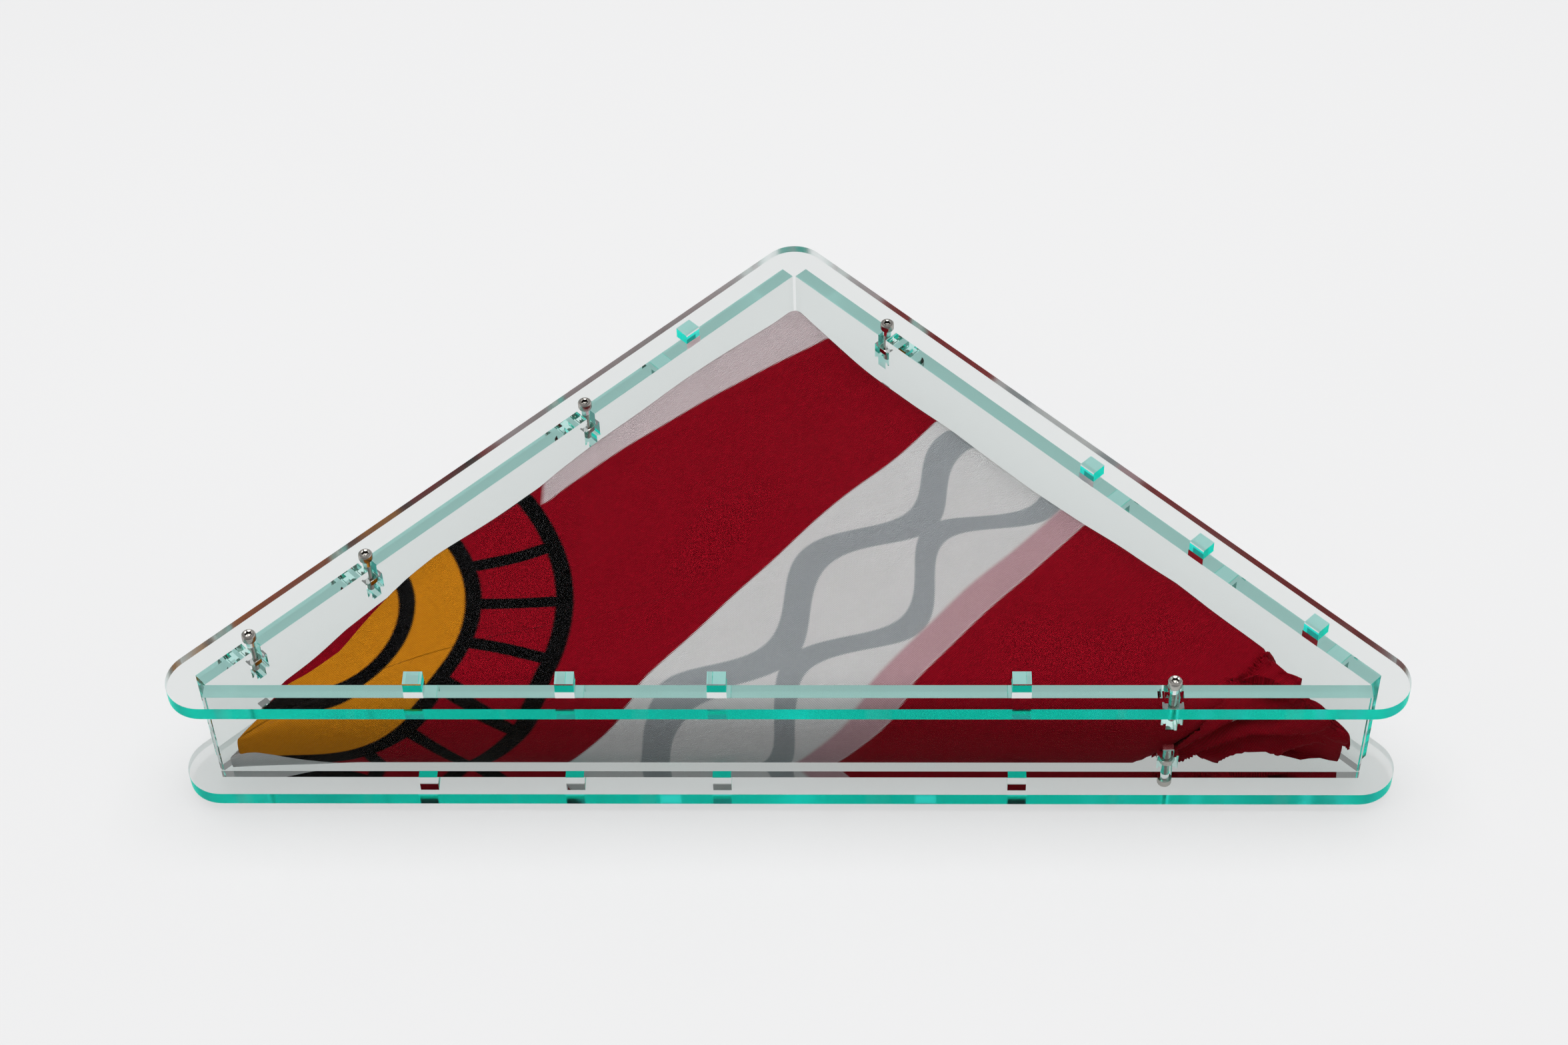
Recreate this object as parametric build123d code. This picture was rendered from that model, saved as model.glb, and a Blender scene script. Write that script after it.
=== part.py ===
from build123d import *
import math
import os

# Folded flag display case: two rounded triangular acrylic plates clamp three acrylic walls.
# Tabs of the walls pass through the plates, and M3 screws pull each plate onto nuts that are
# held in T-slots of the walls. Millimetres, +Z up. The case lies on its back plate, with its
# long edge towards -Y. The origin is under the middle of the bounding box, at the rest plane.

# Driving dimensions
SHEET = 6.0  # thickness of every acrylic piece
INNER_LEG = 304.8  # short side of the inner triangle, 12 inches
INNER_HEIGHT = 46.5  # clear height between the two plates
PLATE_MARGIN = 8.0  # plate beyond the outer face of each wall
TAB_PROUD = 4.6  # height that the tabs stand above the plate they pass through
TAB_LENGTH = 7.0  # tab size along the wall
TAB_PLAY = 0.15  # clearance all round a tab in its slot
CORNER_GAP = 0.4  # between two walls where they meet
AIR_GAP = 0.05  # between any two faces that are clamped together

STATION_PITCH = 56.0  # spacing of the tab and screw stations along each wall
LONG_FIRST = -137.0  # first station of the long wall, from its middle
LEFT_FIRST = 56.0  # first station of the left wall, from its apex end
RIGHT_FIRST = 50.5  # first station of the right wall, from its apex end
LONG_TABS = (0, 1, 2, 4)
LONG_SCREWS = {"front": 5}
LEFT_TABS = (0,)
LEFT_SCREWS = {"left_high": 1, "left_middle": 3, "left_low": 4}
RIGHT_TABS = (2, 3, 4)
RIGHT_SCREWS = {"right": 0}

# M3 x 20 socket cap screw and hexagon nut
SCREW_RADIUS = 1.5
SCREW_LENGTH = 20.0
HEAD_RADIUS = 2.75
HEAD_HEIGHT = 3.0
HEAD_CHAMFER = 0.3
SOCKET_FLATS = 2.5
SOCKET_DEPTH = 1.5
TIP_CHAMFER = 0.4
NUT_FLATS = 5.5
NUT_HEIGHT = 2.4
NUT_BORE_RADIUS = 1.55
HOLE_RADIUS = 1.7

# T-slot in a wall: a slot from the edge with a wider pocket for the nut across it
SLOT_WIDTH = 4.2
SLOT_DEPTH = 17.0
POCKET_WIDTH = 8.0
POCKET_HEIGHT = 6.0
POCKET_START = 7.0  # from the wall's edge to the near side of the pocket
EAR_WIDTH = 0.8  # relief cuts at the pocket's corners
EAR_HEIGHT = 0.8

# Two through-slots in the back plate, behind the long wall
BACK_SLOT_WIDTH = 8.0
BACK_SLOT_LENGTH = 24.0
BACK_SLOT_X = (-45.2, 52.5)
BACK_SLOT_START = 4.7  # behind the inner face of the long wall

# Folded flag
FLAG_WALL_GAP = 1.0
FLAG_FLOOR_GAP = 0.3
FLAG_THICKNESS = 39.0
FLAG_EDGE_SLOPE = 7.0  # bevel round the top and bottom of the bundle

# Worked out from the driving dimensions
HALF_BASE = INNER_LEG / math.sqrt(2)
PLATE_OFFSET = SHEET + PLATE_MARGIN
DEPTH = HALF_BASE + 2 * PLATE_OFFSET
FRONT_Y = -DEPTH / 2  # front edge of the plates
INNER_Y = FRONT_Y + PLATE_OFFSET  # inner face of the long wall
APEX_Y = INNER_Y + HALF_BASE  # corner between the inner faces of the short walls
BACK_Z = TAB_PROUD  # underside of the back plate
FLOOR_Z = BACK_Z + SHEET  # inner face of the back plate
CEILING_Z = FLOOR_Z + INNER_HEIGHT  # inner face of the cover plate
TOP_Z = CEILING_Z + SHEET
SHORT_LENGTH = INNER_LEG - 3 * CORNER_GAP
LONG_LENGTH = 2 * HALF_BASE
WALL_MIDDLE_Z = (FLOOR_Z + CEILING_Z) / 2
SHORT_ANGLE = 45.0


def along(first, pitch_count):
    """Distance of a station along its wall."""
    return first + pitch_count * STATION_PITCH


# Each wall's place: the middle of its length and thickness, and the angle of its length in plan
LEFT_TURN = 180 + SHORT_ANGLE
RIGHT_TURN = -SHORT_ANGLE
DIAGONAL = math.sqrt(0.5)


def short_wall_place(side):
    """Middle of a short wall in plan; side is -1 for the left wall and 1 for the right one."""
    from_apex = 2 * CORNER_GAP + SHORT_LENGTH / 2
    outward = SHEET / 2
    x = side * DIAGONAL * (from_apex + outward)
    y = APEX_Y - DIAGONAL * (from_apex - outward)
    return x, y


WALLS = {
    "long": {
        "length": LONG_LENGTH,
        "place": (0.0, INNER_Y - SHEET / 2),
        "turn": 0.0,
        "tabs": [along(LONG_FIRST, k) for k in LONG_TABS],
        "screws": {n: along(LONG_FIRST, k) for n, k in LONG_SCREWS.items()},
    },
    "left": {
        "length": SHORT_LENGTH,
        "place": short_wall_place(-1),
        "turn": LEFT_TURN,
        "tabs": [along(LEFT_FIRST, k) - SHORT_LENGTH / 2 for k in LEFT_TABS],
        "screws": {
            n: along(LEFT_FIRST, k) - SHORT_LENGTH / 2 for n, k in LEFT_SCREWS.items()
        },
    },
    "right": {
        "length": SHORT_LENGTH,
        "place": short_wall_place(1),
        "turn": RIGHT_TURN,
        "tabs": [along(RIGHT_FIRST, k) - SHORT_LENGTH / 2 for k in RIGHT_TABS],
        "screws": {
            n: along(RIGHT_FIRST, k) - SHORT_LENGTH / 2 for n, k in RIGHT_SCREWS.items()
        },
    },
}


def in_plan(wall, distance):
    """Point in plan on a wall's centreline, at a distance from the middle of the wall."""
    x, y = wall["place"]
    turn = math.radians(wall["turn"])
    return x + distance * math.cos(turn), y + distance * math.sin(turn)


def block(size_x, size_y, size_z, x, y, z):
    """Box by its size and its centre."""
    return Pos(x, y, z) * Box(size_x, size_y, size_z)


def t_slot(distance, edge_z, inward):
    """Cutter for one T-slot; inward is -1 below the wall's top edge and 1 above its bottom edge."""
    overrun = 1.0
    thick = SHEET + 2 * overrun
    slot_middle = edge_z + inward * (SLOT_DEPTH - overrun) / 2
    pocket_middle = edge_z + inward * (POCKET_START + POCKET_HEIGHT / 2)
    cutter = block(SLOT_WIDTH, thick, SLOT_DEPTH + overrun, distance, 0, slot_middle)
    cutter += block(POCKET_WIDTH, thick, POCKET_HEIGHT, distance, 0, pocket_middle)
    ear_x = (POCKET_WIDTH - EAR_WIDTH) / 2
    for side in (-1, 1):
        cutter += block(
            EAR_WIDTH,
            thick,
            POCKET_HEIGHT + 2 * EAR_HEIGHT,
            distance + side * ear_x,
            0,
            pocket_middle,
        )
    return cutter


def make_wall(wall):
    """Wall with its tabs and T-slots, on both edges."""
    body = Box(wall["length"], SHEET, INNER_HEIGHT - 2 * AIR_GAP)
    tab_height = INNER_HEIGHT + 2 * (SHEET + TAB_PROUD)
    for distance in wall["tabs"]:
        body += block(TAB_LENGTH, SHEET, tab_height, distance, 0, 0)
    for distance in wall["screws"].values():
        body -= t_slot(distance, INNER_HEIGHT / 2, -1)
        body -= t_slot(distance, -INNER_HEIGHT / 2, 1)
    x, y = wall["place"]
    return Pos(x, y, WALL_MIDDLE_Z) * Rot(0, 0, wall["turn"]) * body


def rounded_triangle(offset_by):
    """Inner triangle grown by a distance with rounded corners, or shrunk, as a face in plan."""
    corners = Polyline(
        (-HALF_BASE, INNER_Y), (HALF_BASE, INNER_Y), (0, APEX_Y), close=True
    )
    return offset(make_face(corners), amount=offset_by, kind=Kind.ARC)


def make_plate(bottom_z):
    """Rounded triangular plate with a slot for each tab and a hole for each screw."""
    body = Pos(0, 0, bottom_z) * extrude(rounded_triangle(PLATE_OFFSET), SHEET)
    middle_z = bottom_z + SHEET / 2
    cut_height = 2 * SHEET
    for wall in WALLS.values():
        for distance in wall["tabs"]:
            x, y = in_plan(wall, distance)
            slot = Box(TAB_LENGTH + 2 * TAB_PLAY, SHEET + 2 * TAB_PLAY, cut_height)
            body -= Pos(x, y, middle_z) * Rot(0, 0, wall["turn"]) * slot
        for distance in wall["screws"].values():
            x, y = in_plan(wall, distance)
            body -= Pos(x, y, middle_z) * Cylinder(HOLE_RADIUS, cut_height)
    return body


def make_back_plate():
    """Back plate: the same outline as the cover, with the two through-slots."""
    body = make_plate(BACK_Z)
    slot_y = INNER_Y + BACK_SLOT_START + BACK_SLOT_LENGTH / 2
    for slot_x in BACK_SLOT_X:
        body -= block(
            BACK_SLOT_WIDTH, BACK_SLOT_LENGTH, 2 * SHEET, slot_x, slot_y, BACK_Z + SHEET / 2
        )
    return body


def make_screw():
    """Socket cap screw, seated at the origin with its head above and its shank below."""
    head = Cylinder(
        HEAD_RADIUS, HEAD_HEIGHT, align=(Align.CENTER, Align.CENTER, Align.MIN)
    )
    head = chamfer(head.edges().sort_by(Axis.Z)[-1], HEAD_CHAMFER)
    shank = Cylinder(
        SCREW_RADIUS, SCREW_LENGTH, align=(Align.CENTER, Align.CENTER, Align.MAX)
    )
    shank = chamfer(shank.edges().sort_by(Axis.Z)[0], TIP_CHAMFER)
    socket = RegularPolygon(SOCKET_FLATS / 2, 6, major_radius=False)
    recess = extrude(Pos(0, 0, HEAD_HEIGHT) * socket, -SOCKET_DEPTH)
    return head + shank - recess


def make_nut():
    """Hexagon nut, centred on the origin, with two flats facing along Y."""
    flats = RegularPolygon(NUT_FLATS / 2, 6, major_radius=False)
    body = Pos(0, 0, -NUT_HEIGHT / 2) * extrude(flats, NUT_HEIGHT)
    return body - Cylinder(NUT_BORE_RADIUS, 2 * NUT_HEIGHT)


def make_flag():
    """Folded flag as one soft triangular bundle with bevelled edges, just above the back plate."""
    body = extrude(rounded_triangle(-FLAG_WALL_GAP), FLAG_THICKNESS)
    by_height = body.faces().sort_by(Axis.Z)
    edges = by_height[0].edges() + by_height[-1].edges()
    return Pos(0, 0, FLOOR_Z + FLAG_FLOOR_GAP) * chamfer(edges, FLAG_EDGE_SLOPE)


def fasteners():
    """Screws and nuts of both plates, by node name."""
    made = {}
    nut_depth = POCKET_START + AIR_GAP + NUT_HEIGHT / 2
    cover_nut_z = CEILING_Z - nut_depth
    back_nut_z = FLOOR_Z + nut_depth
    cover_seat_z = TOP_Z + AIR_GAP
    back_seat_z = BACK_Z - AIR_GAP
    for wall in WALLS.values():
        for name, distance in wall["screws"].items():
            x, y = in_plan(wall, distance)
            turned = Rot(0, 0, wall["turn"])
            made[f"cover_screw_{name}"] = Pos(x, y, cover_seat_z) * turned * make_screw()
            made[f"cover_nut_{name}"] = Pos(x, y, cover_nut_z) * turned * make_nut()
            flipped = turned * Rot(180, 0, 0)
            made[f"back_screw_{name}"] = Pos(x, y, back_seat_z) * flipped * make_screw()
            made[f"back_nut_{name}"] = Pos(x, y, back_nut_z) * turned * make_nut()
    return made


def main():
    nodes = {
        "cover_plate": make_plate(CEILING_Z),
        "back_plate": make_back_plate(),
        "long_wall": make_wall(WALLS["long"]),
        "left_wall": make_wall(WALLS["left"]),
        "right_wall": make_wall(WALLS["right"]),
        "folded_flag": make_flag(),
    }
    nodes.update(fasteners())
    os.makedirs("parts", exist_ok=True)
    for name, shape in nodes.items():
        export_step(shape, f"parts/{name}.step")


main()
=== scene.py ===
import math

import bmesh
import bpy
import numpy as np
from mathutils import Matrix, Vector


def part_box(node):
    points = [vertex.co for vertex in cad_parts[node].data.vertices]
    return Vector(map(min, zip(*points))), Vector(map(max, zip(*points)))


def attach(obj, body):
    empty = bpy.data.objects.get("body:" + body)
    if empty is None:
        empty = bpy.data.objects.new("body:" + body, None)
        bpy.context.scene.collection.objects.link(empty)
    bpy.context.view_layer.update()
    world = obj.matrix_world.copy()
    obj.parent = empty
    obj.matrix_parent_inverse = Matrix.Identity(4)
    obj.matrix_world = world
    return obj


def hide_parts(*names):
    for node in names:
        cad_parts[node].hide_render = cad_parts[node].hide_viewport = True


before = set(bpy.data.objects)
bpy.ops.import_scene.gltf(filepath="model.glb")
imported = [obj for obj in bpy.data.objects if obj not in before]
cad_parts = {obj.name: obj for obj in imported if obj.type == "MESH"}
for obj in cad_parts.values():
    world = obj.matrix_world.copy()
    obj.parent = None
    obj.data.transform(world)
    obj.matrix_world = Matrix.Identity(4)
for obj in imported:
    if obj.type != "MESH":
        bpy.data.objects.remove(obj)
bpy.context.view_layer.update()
MM = 0.001

# Places read from the frame, in metres
LONG_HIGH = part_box("long_wall")[1]
INNER_Y = LONG_HIGH.y  # inner face of the long wall
FLOOR_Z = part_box("back_plate")[1].z  # inner face of the back plate
CEILING_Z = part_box("cover_plate")[0].z  # inner face of the cover plate
HALF_BASE = LONG_HIGH.x  # half the inner length of the long wall
APEX_Y = INNER_Y + HALF_BASE  # the short walls' inner faces meet here at a right angle
DIAGONAL = math.sqrt(0.5)

# Camera: its place in the frame, its turn about Z, its tilt below the horizon and its roll
CAMERA_PLACE = (0.0328, -0.8260, 0.9725)
CAMERA_YAW = -0.0433
CAMERA_TILT = 0.852
CAMERA_ROLL = -0.034
CAMERA_LENS = 72.19
SENSOR_WIDTH = 36.0
DARK_PATCH_TOWARDS = (-0.03, 0.66, 0.75)  # where the cover would mirror the ceiling to the camera
DIM_FRONT_TOWARDS = (0.0, -0.97, 0.25)  # the side of the studio that the folded edge faces

WORLD_STRENGTH = 0.72
DARK_PATCH_STRENGTH = 0.30
DIM_FRONT_LOSS = 0.48

# What the acrylic passes at a polished face, at a cut one and through its depth
POLISHED_TINT = (0.90, 0.89, 0.885, 1)
PLATE_CUT_TINT = (0.05, 1.0, 0.86, 1)
WALL_CUT_TINT = (0.80, 1.0, 0.96, 1)
PALE_CUT_TINT = (0.75, 0.97, 0.93, 1)
DEPTH_TINT = (0.0, 0.95, 0.90, 1.0)
DEPTH_DENSITY = 5.0
ACRYLIC_IOR = 1.49
PLATE_CUT_ROUGHNESS = 0.22
WALL_CUT_ROUGHNESS = 0.03


# ---------------------------------------------------------------- shader helpers


class Shader:
    """A material being built: short calls that add one node and return its output."""

    def __init__(self, name):
        self.material = bpy.data.materials.new(name)
        self.material.use_nodes = True
        self.tree = self.material.node_tree
        self.tree.nodes.clear()
        self.output = self.tree.nodes.new("ShaderNodeOutputMaterial")

    def node(self, kind, **settings):
        made = self.tree.nodes.new(kind)
        for key, value in settings.items():
            setattr(made, key, value)
        return made

    def put(self, socket, value):
        """Links an output to a socket, or sets the socket's own value."""
        if isinstance(value, bpy.types.NodeSocket):
            self.tree.links.new(value, socket)
        elif value is not None:
            socket.default_value = value

    def math(self, operation, a, b=None, c=None):
        made = self.node("ShaderNodeMath", operation=operation)
        for socket, value in zip(made.inputs, (a, b, c)):
            self.put(socket, value)
        return made.outputs[0]

    def step(self, value, edge, softness):
        """0 well below the edge, 1 well above it, and a straight ramp between."""
        made = self.node("ShaderNodeMapRange")
        self.put(made.inputs["Value"], value)
        self.put(made.inputs["From Min"], edge - softness / 2)
        self.put(made.inputs["From Max"], edge + softness / 2)
        return made.outputs[0]

    def band(self, value, middle, width, softness):
        """1 where the value is within half a width of the middle, and 0 elsewhere."""
        apart = self.math("ABSOLUTE", self.math("SUBTRACT", value, middle))
        return self.math("SUBTRACT", 1.0, self.step(apart, width / 2, softness))

    def mix(self, share, first, second):
        """Colour between the first at share 0 and the second at share 1."""
        made = self.node("ShaderNodeMix", data_type="RGBA")
        self.put(made.inputs["Factor"], share)
        self.put(made.inputs[6], first)
        self.put(made.inputs[7], second)
        return made.outputs[2]

    def noise(self, vector, scale, detail=2.0, roughness=0.5):
        made = self.node("ShaderNodeTexNoise")
        self.put(made.inputs["Vector"], vector)
        self.put(made.inputs["Scale"], scale)
        self.put(made.inputs["Detail"], detail)
        self.put(made.inputs["Roughness"], roughness)
        return made.outputs["Fac"]

    def place(self):
        return self.node("ShaderNodeTexCoord").outputs["Object"]

    def mapped(self, vector, scale=(1, 1, 1), turn=0.0):
        made = self.node("ShaderNodeMapping")
        self.put(made.inputs["Vector"], vector)
        self.put(made.inputs["Scale"], scale)
        self.put(made.inputs["Rotation"], (0, 0, turn))
        return made.outputs["Vector"]

    def parts(self, vector):
        made = self.node("ShaderNodeSeparateXYZ")
        self.put(made.inputs[0], vector)
        return made.outputs

    def bump(self, height, strength, distance, normal=None):
        made = self.node("ShaderNodeBump")
        self.put(made.inputs["Height"], height)
        self.put(made.inputs["Strength"], strength)
        self.put(made.inputs["Distance"], distance)
        self.put(made.inputs["Normal"], normal)
        return made.outputs["Normal"]

    def surface(self, **inputs):
        made = self.node("ShaderNodeBsdfPrincipled")
        for key, value in inputs.items():
            self.put(made.inputs[key.replace("_", " ")], value)
        self.tree.links.new(made.outputs[0], self.output.inputs["Surface"])
        return made


def linear(red, green, blue):
    """A colour given as 0 to 255 on screen, as the shader's linear value."""

    def one(value):
        part = value / 255
        return part / 12.92 if part <= 0.04045 else ((part + 0.055) / 1.055) ** 2.4

    return (one(red), one(green), one(blue), 1.0)


# ---------------------------------------------------------------- materials


def acrylic(name, broad, turn, cut_tint, cut_roughness):
    """Clear acrylic, green in its depth and greener at its cut faces, which carry faint saw lines.

    broad is the direction that the polished faces look in, and turn the angle of the piece's length in plan.
    """
    made = Shader(name)
    place = made.place()
    across = made.node("ShaderNodeVectorMath", operation="DOT_PRODUCT")
    made.put(across.inputs[0], made.node("ShaderNodeTexCoord").outputs["Normal"])
    made.put(across.inputs[1], broad)
    polished = made.step(made.math("ABSOLUTE", across.outputs["Value"]), 0.7, 0.2)
    cut = made.math("SUBTRACT", 1.0, polished)
    along = made.mapped(place, scale=(1, 0, 0), turn=-turn)
    lines = made.math("MULTIPLY_ADD", made.noise(along, 900.0, detail=3.0), 0.25, made.noise(along, 90.0))
    normal = made.bump(made.math("MULTIPLY", lines, cut), 0.05, 0.0003)
    smudge = made.math("MULTIPLY", made.step(made.noise(place, 14.0, detail=4.0), 0.66, 0.3), 0.02)
    # paler places along a cut edge, where it shows what stands behind it
    pale = made.math("MULTIPLY", made.step(made.noise(along, 46.0, detail=1.0), 0.64, 0.06), 0.4)
    edge_tint = made.mix(pale, cut_tint, PALE_CUT_TINT)
    made.surface(
        Base_Color=made.mix(cut, POLISHED_TINT, edge_tint),
        Roughness=made.math("MULTIPLY_ADD", cut, cut_roughness, smudge),
        Transmission_Weight=1.0,
        IOR=ACRYLIC_IOR,
        Specular_Tint=(0.05, 0.05, 0.05, 1),
        Thin_Film_Thickness=110.0,
        Thin_Film_IOR=1.22,
        Normal=normal,
    )
    volume = made.node("ShaderNodeVolumeAbsorption")
    volume.inputs["Color"].default_value = DEPTH_TINT
    volume.inputs["Density"].default_value = DEPTH_DENSITY
    made.tree.links.new(volume.outputs[0], made.output.inputs["Volume"])
    return made.material


def steel(name, dull, bright):
    """Stainless steel with fine machining lines and darker pits."""
    made = Shader(name)
    place = made.place()
    lines = made.noise(made.mapped(place, scale=(1, 1, 12)), 900.0, detail=3.0)
    patches = made.noise(place, 260.0, detail=3.0)
    made.surface(
        Base_Color=made.mix(patches, dull, bright),
        Metallic=1.0,
        Roughness=made.math("ADD", 0.14, made.math("MULTIPLY", patches, 0.16)),
        Normal=made.bump(lines, 0.15, 0.00004),
    )
    return made.material


RIB_PITCH = 0.00068
RIB_HEIGHT = 0.00025
INK_SPREAD = 0.0012  # how far the ribs shift the boundary between two inks
INK_SOFTNESS = 0.0007
# Each ink below comes with a darker copy: painted shade for the valleys between the knit's ribs, also used
# for the cloth's random mottle
RED = linear(190, 8, 38)
RED_SHADE_AND_MOTTLE = linear(126, 0, 16)
WHITE = linear(246, 240, 241)
WHITE_SHADE_AND_MOTTLE = linear(226, 219, 221)
GOLD = linear(244, 164, 34)
GOLD_SHADE_AND_MOTTLE = linear(206, 116, 10)
BLACK = linear(28, 26, 28)
BLACK_SHADE_AND_MOTTLE = linear(12, 10, 12)
GREY = linear(190, 191, 195)
GREY_SHADE_AND_MOTTLE = linear(160, 161, 166)
PINK = linear(220, 166, 176)
PINK_SHADE_AND_MOTTLE = linear(184, 118, 130)
BORDER = linear(238, 226, 228)
BORDER_SHADE_AND_MOTTLE = linear(212, 180, 186)

# The print, in metres on the flat cloth. A white stripe leans to the right and carries two grey waves.
STRIPE_LEAN = 0.80
STRIPE_START = 0.0233
STRIPE_WIDTH = 0.1025
WAVE_LENGTH = 0.085
WAVES = ((0.028, 0.012, 0.017), (0.066, -0.014, 0.013))  # middle, swing and width of each
PINK_MIDDLE = 0.0945
PINK_WIDTH = 0.016
# The white border lies above a line of this slope and height, to the right of its foot
BORDER_SLOPE = 0.846
BORDER_HEIGHT = 0.0770
BORDER_FOOT = -0.098
# The roundel: its middle, its gold disc, the radius and width of each black ring, and its spokes
ROUNDEL_MIDDLE = (-0.182, -0.062)
GOLD_RADIUS = 0.060
BLACK_RINGS = ((0.0965, 0.007), (0.0615, 0.0065), (0.036, 0.0065))
SPOKE_RING = (0.0775, 0.035)  # middle and width of the ring that the spokes cross
SPOKE_HALF_TURN = math.radians(9)  # half the angle between two spokes
SPOKE_HALF_WIDTH = 0.0028


def knit(made, uv):
    """Height of the knitted loops, from 0 to 1: two crossing sets of ribs at 45 degrees to the long edge."""
    turned = made.parts(made.mapped(uv, turn=math.pi / 4))
    rib = made.math("SINE", made.math("MULTIPLY", turned[0], 2 * math.pi / RIB_PITCH))
    loop = made.math("SINE", made.math("MULTIPLY", turned[1], 2 * math.pi / RIB_PITCH))
    return made.math("MULTIPLY_ADD", made.math("ADD", rib, loop), 0.25, 0.5)


def flag_cloth(name, print_on=True, field=(RED, RED_SHADE_AND_MOTTLE)):
    """Knitted polyester: raised ribs, ink edges that the ribs make ragged, painted shade in the valleys
    between the ribs, and a soft sheen.
    """
    made = Shader(name)
    uv = made.node("ShaderNodeUVMap", uv_map="cloth").outputs[0]
    x, y, _ = made.parts(uv)
    height = knit(made, uv)
    jagged = made.math("MULTIPLY", made.math("SUBTRACT", height, 0.5), INK_SPREAD)
    light, dark = field
    if print_on:
        light, dark = face_inks(made, uv, x, y, jagged, light, dark)
    # painted shade: low places between the ribs take each ink's darker copy, the rib tops its lighter one
    colour = made.mix(height, dark, light)
    cloudy = made.noise(uv, 30.0, detail=3.0)
    colour = made.mix(made.math("MULTIPLY", cloudy, 0.25), colour, dark)
    yarn = made.math("ADD", made.noise(uv, 1300.0, detail=1.0), made.noise(uv, 480.0, detail=1.0))
    colour = made.mix(made.math("MULTIPLY", made.step(yarn, 1.0, 0.5), 0.3), colour, dark)
    normal = made.bump(height, 0.6, RIB_HEIGHT)
    made.surface(
        Base_Color=colour,
        Roughness=0.7,
        Specular_IOR_Level=0.06,
        Sheen_Weight=0.02,
        Sheen_Roughness=0.4,
        Normal=normal,
    )
    return made.material


def face_inks(made, uv, x, y, jagged, light, dark):
    """The flag's print: a slanting white stripe with grey waves, a white border and a roundel."""

    def over(share, pair, inks):
        return made.mix(share, pair[0], inks[0]), made.mix(share, pair[1], inks[1])

    pair = (light, dark)
    soft = INK_SOFTNESS
    # distance to the right of the stripe's left boundary, measured along X
    lean = made.math("MULTIPLY_ADD", y, -STRIPE_LEAN, made.math("ADD", x, jagged))
    across = made.math("ADD", lean, -STRIPE_START)
    begun = made.step(across, 0.0, soft)
    stripe = made.math("MULTIPLY", begun, made.math("SUBTRACT", 1.0, made.step(across, STRIPE_WIDTH, soft)))
    pair = over(stripe, pair, (WHITE, WHITE_SHADE_AND_MOTTLE))
    down = made.math("MULTIPLY_ADD", y, 0.75, made.math("MULTIPLY", x, 0.66))
    wave = made.math("SINE", made.math("MULTIPLY", down, 2 * math.pi / WAVE_LENGTH))
    for middle, swing, width in WAVES:
        snake = made.math("MULTIPLY_ADD", wave, -swing, across)
        grey = made.math("MULTIPLY", made.band(snake, middle, width, soft), stripe)
        pair = over(grey, pair, (GREY, GREY_SHADE_AND_MOTTLE))
    pink = made.math("MULTIPLY", made.band(across, PINK_MIDDLE, PINK_WIDTH, 0.002), stripe)
    pair = over(made.math("MULTIPLY", pink, 0.8), pair, (PINK, PINK_SHADE_AND_MOTTLE))
    # white border beside the left edge, above the roundel
    above = made.math("MULTIPLY_ADD", x, -BORDER_SLOPE, made.math("ADD", y, jagged))
    border = made.math("MULTIPLY", made.step(above, BORDER_HEIGHT, soft), made.step(x, BORDER_FOOT, 0.002))
    pair = over(border, pair, (BORDER, BORDER_SHADE_AND_MOTTLE))
    # roundel: gold middle, red cells between spokes, thick black outlines
    dx = made.math("ADD", x, made.math("ADD", -ROUNDEL_MIDDLE[0], jagged))
    dy = made.math("ADD", y, -ROUNDEL_MIDDLE[1])
    radius = made.math("SQRT", made.math("ADD", made.math("MULTIPLY", dx, dx), made.math("MULTIPLY", dy, dy)))
    angle = made.math("ARCTAN2", dy, dx)
    inside = made.math("SUBTRACT", 1.0, made.step(radius, GOLD_RADIUS, soft))
    pair = over(inside, pair, (GOLD, GOLD_SHADE_AND_MOTTLE))
    cell = made.math("PINGPONG", made.math("ADD", angle, 10.0), SPOKE_HALF_TURN)
    spoke = made.math("SUBTRACT", 1.0, made.step(made.math("MULTIPLY", cell, radius), SPOKE_HALF_WIDTH, soft))
    black = made.math("MULTIPLY", spoke, made.band(radius, *SPOKE_RING, soft))
    for middle, width in BLACK_RINGS:
        black = made.math("MAXIMUM", black, made.band(radius, middle, width, soft))
    return over(black, pair, (BLACK, BLACK_SHADE_AND_MOTTLE))


# ---------------------------------------------------------------- mesh helpers


def mesh_object(name, points, faces, smooth=True):
    mesh = bpy.data.meshes.new(name)
    mesh.from_pydata([tuple(p) for p in points], [], faces)
    mesh.update()
    if smooth:
        mesh.shade_smooth()
    made = bpy.data.objects.new(name, mesh)
    bpy.context.scene.collection.objects.link(made)
    return made


def grid_faces(rows, columns, closed=False):
    """Quads of a grid whose points are listed row by row; closed joins the last column to the first."""
    faces = []
    for r in range(rows - 1):
        for c in range(columns if closed else columns - 1):
            d = (c + 1) % columns
            faces.append((r * columns + c, r * columns + d, (r + 1) * columns + d, (r + 1) * columns + c))
    return faces


def cloth_map(made, coordinates):
    """Stores the cloth's own flat coordinates, in metres, one pair for each vertex."""
    layer = made.data.uv_layers.new(name="cloth")
    flat = np.array(coordinates, float)[:, :2]
    index = np.zeros(len(made.data.loops), int)
    made.data.loops.foreach_get("vertex_index", index)
    layer.data.foreach_set("uv", flat[index].astype(np.float32).ravel())


def ripple(x, y, wavelength, seed):
    """Smooth noise about zero over a plane, the same every run: a few sine waves at chance angles."""
    chance = np.random.default_rng(seed)
    total = np.zeros_like(x, float)
    waves = 7
    for _ in range(waves):
        turn = chance.uniform(0, 2 * math.pi)
        length = wavelength * chance.uniform(0.65, 1.5)
        phase = chance.uniform(0, 2 * math.pi)
        total += np.sin((x * math.cos(turn) + y * math.sin(turn)) * 2 * math.pi / length + phase)
    return total / math.sqrt(waves)


# ---------------------------------------------------------------- folded flag

FLAG_GAP = 1.4 * MM  # between the cloth and each short wall
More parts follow.
